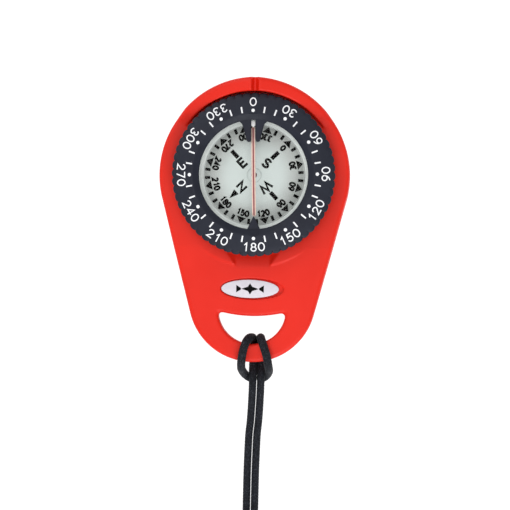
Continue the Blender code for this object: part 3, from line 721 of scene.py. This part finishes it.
def make_bezel(black, white):
    low = BEZEL_LOW[2]
    profile = rounded([(CREST_R, bezel_face(CREST_R)), (31.4, bezel_face(31.4)), (TOOTH_R, 23.3),
                       (TOOTH_R - 0.5, low), (27.4, low), (27.4, 18.6), (28.8, 18.8), (28.8, 22.9),
                       (24.0, 23.2), (APERTURE_R, PLATE_Z[0]), (APERTURE_R, PLATE_Z[1])], 0.5)
    ring = lathe("bezel_ring", profile, TEETH * (14), scallop)
    piece("bezel_ring", ring, black, "bezel", "bezel_black", "bezel")
    fork = plate("bezel_fork", fork_outline(), *PLATE_Z, 0.2, turn=BEZEL_TURN)
    piece("bezel_fork", fork, black, "bezel", "bezel_black")
    outline = [(-2.9, -22.6), (2.9, -22.6), (2.3, -21.3), (0.14, -16.8), (-0.14, -16.8),
               (-2.3, -21.3)]
    pointer = plate("bezel_pointer", outline, *PLATE_Z, 0.12, turn=BEZEL_TURN)
    piece("bezel_pointer", pointer, black, "bezel", "bezel_black")
    pads = Film(lambda x, y: bezel_face(hypot(x, y)), 0.22, 0.1)
    for bearing in (-BEZEL_TURN, 180 - BEZEL_TURN):
        mark(pads, bearing, (22.1, 23.2, 24.3), 3.4)
    piece("bezel_pads", pads.mesh("bezel_pads"), black, "bezel", "bezel_black", smooth=False)
    film = Film(lambda x, y: bezel_face(hypot(x, y)))
    for reading in range(0, 360, 10):
        bearing = reading - BEZEL_TURN
        if reading % 30:
            mark(film, bearing, (25.0, 26.2, 27.5), 0.6)
        else:
            write(film, str(reading), bearing, 29.2, 3.57, 0.48, 3.15, round_ends=True)
            cx, cy = polar(bearing, DOT_AT_R)
            film.patch(arc_points(cx, cy, DOT_R, DOT_R, 0, 345, 24))
    piece("bezel_scale", film.mesh("bezel_scale"), white, "bezel", "bezel_black", smooth=False)


# ---- capsule and card

def dome_z(radius, lift=0.0):
    return DOME_APEX_Z + lift - radius * radius / (2 * DOME_CURVE_R)


def make_dome(clear):
    outer = [(DOME_R * i / 24, dome_z(DOME_R * i / 24)) for i in range(25)]
    inner = [(DOME_INNER_R * i / 24, dome_z(DOME_INNER_R * i / 24, -DOME_THICK))
             for i in range(24, -1, -1)]
    profile = outer + [(DOME_R, DOME_FOOT_Z), (DOME_INNER_R, DOME_FOOT_Z)] + inner
    piece("clear_dome", lathe("clear_dome", profile, 128), clear, "case", "dome_clear", "dome")


def dome_strip(name, half_width, low, thick, start, end, mat, slot, replaced):
    """A bar along Y that follows the dome, with rounded long edges and ends."""
    count, section = 60, []
    for a in range(0, 181, 30):
        across, up = cos(radians(a)), sin(radians(a))
        section.append((half_width * (0.82 * across + 0.18 * np.sign(across)), thick * up ** 0.5))
    verts, faces = [], []
    for i in range(count + 1):
        y = start + (end - start) * i / count
        past = abs(y - (start + end) / 2) - abs(end - start) / 2 + half_width
        taper = max(sqrt(max(0.0, 1 - max(0.0, past / half_width) ** 2)), 0.05)
        sides = [(x, low + z) for x, z in section]
        for x, z in sides + [(-half_width, low - 0.02), (half_width, low - 0.02)]:
            spun = Matrix.Rotation(radians(LUBBER_TURN), 2) @ Vector((x * taper, y))
            verts.append((spun.x, spun.y, dome_z(abs(y), z)))
    width = len(section) + 2
    for i in range(count):
        for j in range(width):
            k = (j + 1) % width
            faces.append((i * width + j, i * width + k, (i + 1) * width + k, (i + 1) * width + j))
    faces += [tuple(range(width)), tuple(range(count * width, (count + 1) * width))]
    piece(name, turned_outwards(mesh_from(name, verts, faces)), mat, "case", slot, replaced)


def card_height(x, y):
    radius = min(CARD_R, max(CARD_FLAT_R, hypot(x, y)))
    fall = (radius - CARD_FLAT_R) / (CARD_R - CARD_FLAT_R)
    return CARD_TOP_Z - (CARD_TOP_Z - CARD_EDGE_Z) * fall


# Letter, bearing from the card's north, and how wide it is drawn
LETTERS = [("N", 0, 1.15), ("E", 90, 1.2), ("S", 180, 1.15), ("W", 270, 1.34)]


def arrow(bearing, base, tip, half):
    """A triangle that points outwards from the dial's axis."""
    return [polar(bearing, base, half), polar(bearing, tip), polar(bearing, base, -half)]


def make_card(paint, ink, jewel):
    profile = rounded([(2.93, CARD_TOP_Z), (CARD_R, CARD_EDGE_Z), (CARD_R, CARD_EDGE_Z - 0.7),
                       (2.93, CARD_TOP_Z - 0.7)], 0.1, 2)
    piece("card_disc", lathe("card_disc", profile, 180), paint, "card", "card_grey", "compass_card")
    film = Film(card_height, 0.03, 0.03)
    for reading in range(0, 360, 10):
        bearing = NORTH + 180 + reading
        if reading % 30:
            mark(film, bearing, (17.85, 18.95, 20.05), 1.15)
        else:
            film.patch(arrow(bearing, 17.7, 20.25, 1.95))
            write(film, str(reading), bearing, 15.95, 2.9, 0.8, 1.75, squeeze=0.8)
    for letter, turn, squeeze in LETTERS:
        bearing = NORTH + turn
        write(film, letter, bearing, 6.95, 4.3, 0.98, 0, squeeze=squeeze, inward=False)
        if letter == "N":
            film.patch(arrow(bearing, 9.9, 13.8, 1.35))
        else:
            mark(film, bearing, (9.6, 11.5, 13.45), 1.65)
    piece("card_scale", film.mesh("card_scale"), ink, "card", "card_grey", smooth=False)
    hub = rounded([(1.16, 17.75), (2.4, 17.6), (2.9, 17.3), (2.9, 13.2), (1.4, 13.2), (1.4, 16.3),
                   (1.16, 16.5)], 0.15, 3)
    piece("hub_sleeve", lathe("hub_sleeve", hub, 72), paint, "pitch_link", "capsule_white",
          "jewel_sleeve")
    cup = [(0, 17.95), (0.6, 17.95), (0.9, 17.87), (1.02, 17.7), (1.02, 17.0), (0.55, 17.0),
           (0, 17.6)]
    piece("jewel_stone", lathe("jewel_stone", cup, 48), jewel, "heel_link", "jewel", "jewel_cup")


def make_bowl(white, glowing_liner, black):
    bowl = rounded([(22.6, 17.9), (25.3, 17.9), (25.3, 17.0), (24.0, 17.0), (24.0, 8.8), (21.0, 5.8),
                    (4.4, 5.8), (4.4, 7.2), (19.8, 7.2), (22.6, 9.8)], 0.5, 3)
    piece("bowl_shell", lathe("bowl_shell", bowl, 144), white, "case", "capsule_white",
          "capsule_bowl")
    liner = rounded([(20.47, 16.4), (22.4, 17.3), (22.4, 16.5), (21.35, 15.9), (21.35, 9.3),
                     (20.47, 9.3)], 0.25, 3)
    piece("bowl_liner", lathe("bowl_liner", liner, 144), glowing_liner, "case", "capsule_white",
          "capsule_liner")
    clamp = rounded([(24.4, 22.4), (28.4, 22.4), (28.4, 21.4), (27.2, 21.4), (27.2, 20.2),
                     (28.4, 20.2), (28.4, 19.0), (26.9, 19.0), (26.9, 17.0), (25.7, 17.0),
                     (25.7, 20.8), (24.4, 20.8)], 0.2, 2)
    piece("clamp_ring", lathe("clamp_ring", clamp, 144), black, "case", "bezel_black",
          "retaining_ring")


# ---- badge

def make_badge(pearl, ink):
    """Oval plate in its recess, with a plain four-pointed star between two small wedges."""
    cx, cy = (BADGE_LOW[0] + BADGE_HIGH[0]) / 2, (BADGE_LOW[1] + BADGE_HIGH[1]) / 2
    a, b = (BADGE_HIGH[0] - BADGE_LOW[0]) / 2, (BADGE_HIGH[1] - BADGE_LOW[1]) / 2
    low, high = tail_top(cy) - RECESS_DEPTH + 0.2, tail_top(cy) - 0.02
    outline = [(cx + a * cos(2 * pi * i / 96), cy + b * sin(2 * pi * i / 96)) for i in range(96)]
    mesh = plate("badge_plate", outline, low, high, 0.25, lean=TAIL_SLOPE)
    piece("badge_plate", mesh, pearl, "case", "badge_pearl", "badge")
    film = Film(lambda x, y: high + TAIL_SLOPE * (y - cy), 0.04, 0.04)
    star = []
    for i in range(8):
        reach = 1.25 if i % 2 else (2.25 if i % 4 == 0 else 3.5)
        angle = radians(90 + 45 * i)
        star.append((cx + reach * cos(angle), cy + reach * sin(angle)))
    film.patch(star)
    for side in (-1, 1):
        wedge = [(3.7, 0.3), (5.6, 1.5), (5.6, -1.5), (3.7, -0.3)]
        points = [(cx + side * x, cy + side * y) for x, y in wedge]
        film.patch(points[::-1])
    piece("badge_mark", film.mesh("badge_mark"), ink, "case", "badge_pearl", smooth=False)


# ---- lanyard

def through(points, spacing):
    """Evenly spaced points on a Catmull-Rom curve through the given points."""
    knots = [np.array(p, dtype=float) for p in points]
    knots = [2 * knots[0] - knots[1]] + knots + [2 * knots[-1] - knots[-2]]
    fine = []
    for a, b, c, d in zip(knots, knots[1:], knots[2:], knots[3:]):
        for i in range(16):
            t = i / 16
            fine.append(0.5 * (2 * b + (c - a) * t + (2 * a - 5 * b + 4 * c - d) * t * t
                               + (3 * b - a - 3 * c + d) * t ** 3))
    fine = np.array(fine + [knots[-2]])
    run = np.concatenate([[0], np.cumsum(np.linalg.norm(np.diff(fine, axis=0), axis=1))])
    wanted = np.linspace(0, run[-1], max(2, int(round(run[-1] / spacing)) + 1))
    return np.stack([np.interp(wanted, run, fine[:, i]) for i in range(3)], axis=1)


def coil_height(turn):
    """Flat layers, each climbing to the next at the same place."""
    layer = int(turn)
    run = min(1.0, max(0.0, (turn - layer - LAYER_STEP_AT) / LAYER_STEP_RUN))
    height = COIL_LIFT + CORD_D / 2 + COIL_PITCH * (layer + run * run * (3 - 2 * run))
    return min(height, COIL_TOP_Z)


def coil_points(radius):
    """Turns of one strand, clockwise from the +X side, up to the knot."""
    turns = COIL_LAYERS + KNOT_ANGLE / 360
    count = int(turns * 48)
    out = []
    for i in range(count + 1):
        turn = turns * i / count
        angle = -2 * pi * turn
        out.append((COIL_X + radius * cos(angle), COIL_Y + radius * sin(angle), coil_height(turn)))
    return out


def frames_along(path):
    """Tangent, side and up at each point, without twist."""
    tangents = np.gradient(path, axis=0)
    tangents /= np.linalg.norm(tangents, axis=1)[:, None]
    side = np.cross(tangents[0], (0, 0, 1.0))
    if np.linalg.norm(side) < 0.1:
        side = np.cross(tangents[0], (0, 1.0, 0))
    sides = []
    for t in tangents:
        side = side - t * side.dot(t)
        side /= np.linalg.norm(side)
        sides.append(side)
    sides = np.array(sides)
    return tangents, sides, np.cross(tangents, sides)


def braided_tube(name, path, diameter, swell=0.0, carriers=10, around=30, pitch=6.5):
    """A tube whose surface carries the diamonds of a braid, with rounded ends.

    swell widens its first part, where the braid is slack in the hitch.
    """
    _, sides, ups = frames_along(path)
    run = np.concatenate([[0], np.cumsum(np.linalg.norm(np.diff(path, axis=0), axis=1))])
    angle = 2 * pi * np.arange(around) / around
    s, a = np.meshgrid(run, angle, indexing="ij")
    around_part, along_part = carriers * a / (2 * pi), s * carriers / pitch / 2
    one, two = around_part + along_part, around_part - along_part
    bulge = (np.abs(np.cos(pi * one)) * np.abs(np.cos(pi * two))) ** 0.5
    radius = diameter / 2 - BRAID_DEPTH * (1 - bulge)
    radius = radius + swell * np.clip((SLACK_RUN - run) / SLACK_FADE, 0, 1)[:, None]
    end = np.minimum(run, run[-1] - run)[:, None]
    radius = radius * np.sqrt(np.clip(end / 0.5, 0.12, 1.0))
    ring = (np.cos(a) * radius)[..., None] * sides[:, None]
    ring = ring + (np.sin(a) * radius)[..., None] * ups[:, None]
    verts = (path[:, None] + ring).reshape(-1, 3)
    rows, cols = len(path), around
    i, j = np.meshgrid(np.arange(rows - 1), np.arange(cols), indexing="ij")
    k = (j + 1) % cols
    faces = np.stack([i * cols + j, i * cols + k, (i + 1) * cols + k, (i + 1) * cols + j], axis=-1)
    faces = faces.reshape(-1, 4)[:, ::-1].tolist()
    faces += [tuple(range(cols)), tuple(range((rows - 1) * cols, rows * cols))[::-1]]
    return mesh_from(name, verts, faces)


def strand_path(route, radius):
    """The whole line of one strand: hitch, the way to the coil, its turns, and into the knot."""
    line = list(route)
    if route is LEFT_ROUTE:
        line.append((COIL_X + radius, COIL_Y + 6.0, COIL_LIFT + 1.4))
    return through(line + coil_points(radius), CORD_STEP)


def knot_path():
    """Three wraps round the two strands, along the coil's line."""
    centre = [(a + b) / 2 for a, b in zip(KNOT_LOW, KNOT_HIGH)]
    angle = radians(-KNOT_ANGLE)
    out, along = [], Vector((sin(angle), -cos(angle), 0))
    across = Vector((cos(angle), sin(angle), 0))
    steps = 24 * KNOT_WRAPS
    for i in range(steps + 1):
        turn = 2 * pi * i / 24
        place = along * KNOT_LENGTH * (i / steps - 0.5) + across * KNOT_HALF_WIDTH * cos(turn)
        out.append(tuple(Vector(centre) + place + Vector((0, 0, KNOT_HALF_HEIGHT * sin(turn)))))
    return through(out, CORD_STEP)


def strap_mesh():
    """Woven band round the coil: a rounded box loop with ribs along it."""
    low, high = box_mm("coil_strap")
    middle_x, middle_y, middle_z = [(a + b) / 2 for a, b in zip(low, high)]
    reach_x = (high[0] - low[0]) / 2 - STRAP_INSET
    reach_z = (high[2] - low[2]) / 2 - STRAP_INSET
    loop, steps = [], 72
    for i in range(steps):
        a = 2 * pi * i / steps
        stretch = (abs(cos(a)) ** 8 + abs(sin(a)) ** 8) ** (-1 / 8)
        loop.append((middle_x + reach_x * cos(a) * stretch, middle_z + reach_z * sin(a) * stretch,
                     cos(a) * stretch, sin(a) * stretch))
    across = np.linspace(-1, 1, 25)
    verts, faces = [], []
    width = 2 * len(across)
    for x, z, nx, nz in loop:
        for side in (1, -1):
            for v in across[::side]:
                rib = STRAP_HALF_THICK + 0.05 * cos(v * 9 * pi)
                rib *= side * (1 - 0.5 * max(0.0, abs(v) - 0.92) / 0.08)
                verts.append((x + nx * rib, middle_y + v * STRAP_HALF_WIDTH, z + nz * rib))
    for i in range(steps):
        a, b = i * width, (i + 1) % steps * width
        for j in range(width):
            k = (j + 1) % width
            faces.append((a + j, b + j, b + k, a + k))
    return mesh_from("coil_band", verts, faces)


def make_lanyard(braid, webbing):
    knot = braided_tube("cord_knot", knot_path(), KNOT_CORD_D)
    piece("cord_knot", knot, braid, "case", "cord_braid", "lanyard_knot")
    piece("coil_band", strap_mesh(), webbing, "case", "strap_black", "coil_strap")
    for name, route, radius in (("lanyard_left", LEFT_ROUTE, COIL_R_IN),
                                ("lanyard_right", RIGHT_ROUTE, COIL_R_OUT)):
        path = strand_path(route, radius)
        outer = radius == COIL_R_OUT
        tube = piece("cord_" + name[8:], braided_tube(name, path, CORD_D, SLACK_SWELL), braid, "case",
                     "cord_braid", name, *(("lanyard_coil",) if outer else ()))


# ---- stage

FLOOR_HALF, FLOOR_Z = 2500.0, -0.15
FLOOR_GLOW, SKY_GLOW = 0.97, 0.72
LIGHT_AIM = (0, -0.03, 0.01)
# Name, place and size in metres, and power in watts
LAMPS = [("key", (-0.6, 0.7, 0.75), 0.8, 3.2), ("fill", (0.2, -1.0, 0.7), 0.9, 8.6),
         ("overhead", (-0.1, 0.05, 1.35), 1.5, 5.0)]


def make_stage():
    """White floor that glows as a lit sweep does, white surroundings and three soft lamps."""
    floor_mat, _, node = shader("floor_white", (0.25, 0.25, 0.25), 0.9, Specular_IOR_Level=0.1)
    node.inputs["Emission Color"].default_value = (1, 1, 1, 1)
    node.inputs["Emission Strength"].default_value = FLOOR_GLOW
    corners = [(x, y, FLOOR_Z) for x, y in ((-1, -1), (1, -1), (1, 1), (-1, 1))]
    mesh = mesh_from("floor", [(x * FLOOR_HALF, y * FLOOR_HALF, z) for x, y, z in corners],
                     [(0, 1, 2, 3)])
    mesh.materials.append(floor_mat)
    add("floor", mesh)
    world = bpy.data.worlds.new("studio")
    bpy.context.scene.world = world
    world.use_nodes = True
    back = world.node_tree.nodes["Background"]
    back.inputs["Color"].default_value = (1, 1, 1, 1)
    back.inputs["Strength"].default_value = SKY_GLOW
    for name, place, size, power in LAMPS:
        data = bpy.data.lights.new(name, "AREA")
        data.shape, data.size, data.energy = "DISK", size, power
        lamp = add(name, data)
        lamp.location = place
        aim = Vector(LIGHT_AIM) - lamp.location
        lamp.rotation_euler = aim.to_track_quat("-Z", "Y").to_euler()
    view = bpy.context.scene.view_settings
    view.view_transform = "Standard"
    view.look = "None"


CAMERA_ROLL, CAMERA_LEAN_X, CAMERA_LEAN_Y = 1.22, 2.64, 0.05
CAMERA_DISTANCE, FRAME_WIDTH, SENSOR = 1111.0, 204.8, 36.0
CAMERA_AIM = (0.66, -32.34, 24.5)    # across and up the view from the dial's axis, and height


def make_camera():
    """A long lens, almost square to the dial, leaning a little to the hood and the right."""
    roll = radians(CAMERA_ROLL)
    right, up = Vector((cos(roll), sin(roll), 0)), Vector((-sin(roll), cos(roll), 0))
    target = right * CAMERA_AIM[0] + up * CAMERA_AIM[1] + Vector((0, 0, CAMERA_AIM[2]))
    lean = right * sin(radians(CAMERA_LEAN_X)) + up * sin(radians(CAMERA_LEAN_Y))
    away = (lean + Vector((0, 0, sqrt(1 - lean.length_squared)))).normalized()
    across = (right - away * right.dot(away)).normalized()
    turn = Matrix((across, away.cross(across), away)).transposed()
    data = bpy.data.cameras.new("camera")
    data.sensor_width = SENSOR
    data.lens = SENSOR * CAMERA_DISTANCE / FRAME_WIDTH
    data.clip_start, data.clip_end = 0.05, 20
    camera = add("camera", data)
    place = (target + away * CAMERA_DISTANCE) * MM
    camera.matrix_world = Matrix.Translation(place) @ turn.to_4x4()
    bpy.context.scene.camera = camera


make_stage()
make_camera()

RED = mottled("case_red", (0.61, 0.011, 0.002), (0.65, 0.014, 0.004), 0.45, 0.05, 3.0, 0.02,
              Specular_IOR_Level=0.22)
BLACK = mottled("bezel_black", (0.008, 0.0095, 0.018), (0.012, 0.0145, 0.025), 0.5, 0.15, 4.0, 0.02,
                Specular_IOR_Level=0.22)
WHITE = mottled("capsule_white", (0.5, 0.52, 0.51), (0.6, 0.62, 0.61), 0.4, 0.1, 4.0, 0.01)
PRINT_WHITE = mottled("print_white", (0.74, 0.75, 0.77), (0.8, 0.81, 0.83), 0.5, 0.8, 6.0, 0.01)
PRINT_BLACK = mottled("print_black", (0.0012, 0.0012, 0.0012), (0.0025, 0.0025, 0.0025), 0.6, 0.8,
                      6.0, 0.01, Specular_IOR_Level=0.05)
PEARL = mottled("badge_pearl", (0.53, 0.5, 0.55), (0.58, 0.55, 0.6), 0.35, 0.6, 6.0, 0.01)
# liner: pale plastic with a painted glow, a weak emission that lifts its shaded ring, though it is no
# lamp
GLOWING_LINER = mottled("liner_pale_glow", (0.78, 0.8, 0.79), (0.86, 0.88, 0.87), 0.5, 0.1, 4.0, 0.01,
               Emission_Color=(0.9, 1.0, 0.98, 1.0), Emission_Strength=0.08)
RUBBER = mottled("seal_rubber", (0.02, 0.02, 0.02), (0.03, 0.03, 0.03), 0.8, 0.5, 4.0, 0.03)
STEEL = mottled("steel", (0.5, 0.5, 0.5), (0.6, 0.6, 0.6), 0.3, 1.0, 6.0, 0.01, 1.0)
BRASS = mottled("brass", (0.7, 0.52, 0.22), (0.78, 0.6, 0.28), 0.3, 1.0, 6.0, 0.01, 1.0)
STRIP = mottled("strip_cream", (0.66, 0.46, 0.38), (0.72, 0.54, 0.46), 0.3, 0.8, 6.0, 0.005)
LINE = mottled("line_red", (0.2, 0.04, 0.045), (0.24, 0.05, 0.055), 0.4, 0.8, 6.0, 0.005)
# lubber tip: light grey with a painted glow, a weak emission, though it is no lamp
GLOWING_TIP = mottled("tip_grey_glow", (0.82, 0.82, 0.82), (0.9, 0.9, 0.9), 0.4, 0.8, 6.0, 0.005,
              Emission_Color=(1.0, 1.0, 1.0, 1.0), Emission_Strength=0.2)
JEWEL = mottled("jewel_stone", (0.3, 0.15, 0.16), (0.36, 0.2, 0.2), 0.12, 0.8, 6.0, 0.005)
CLEAR = clear_window("dome_clear", (0.985, 0.99, 0.985), 0.04, 1.16)
BRAID = braid_paint()
WEBBING = mottled("strap_webbing", (0.012, 0.012, 0.014), (0.03, 0.03, 0.034), 0.8, 1.2, 3.0, 0.08)

make_case(RED)
make_bezel(BLACK, PRINT_WHITE)
make_dome(CLEAR)
dome_strip("lubber_bar", 0.8, 0.1, 0.3, -16.9, 19.32, STRIP, "strip_clear", "lubber_strip")
dome_strip("lubber_core", 0.33, 0.36, 0.14, -16.7, 19.2, LINE, "line_red", "lubber_line")
dome_strip("lubber_end", 0.87, 0.12, 0.5, 19.3, 21.8, GLOWING_TIP, "capsule_white", "lubber_tip")
make_card(card_paint(), PRINT_BLACK, JEWEL)
make_bowl(WHITE, GLOWING_LINER, BLACK)
make_badge(PEARL, PRINT_BLACK)
make_lanyard(BRAID, WEBBING)

# CAD nodes that keep their shape and take a finished material
CARRIED = [
    (STEEL, [f"case_screw_{i}" for i in range(1, 6)] + ["pivot_pin", "magnet_a", "magnet_b"]),
    (RUBBER, ["bezel_friction_ring", "dome_seal", "diaphragm", "cushion_ring", "plug_seal"]),
    (BLACK, ["pivot_post", "diaphragm_ring"]),
    (WHITE, ["card_float"]),
    (BRASS, ["filler_plug"]),
]
for mat, names in CARRIED:
    for name in names:
        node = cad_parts[name]
        node.data.materials.clear()
        node.data.materials.append(mat)
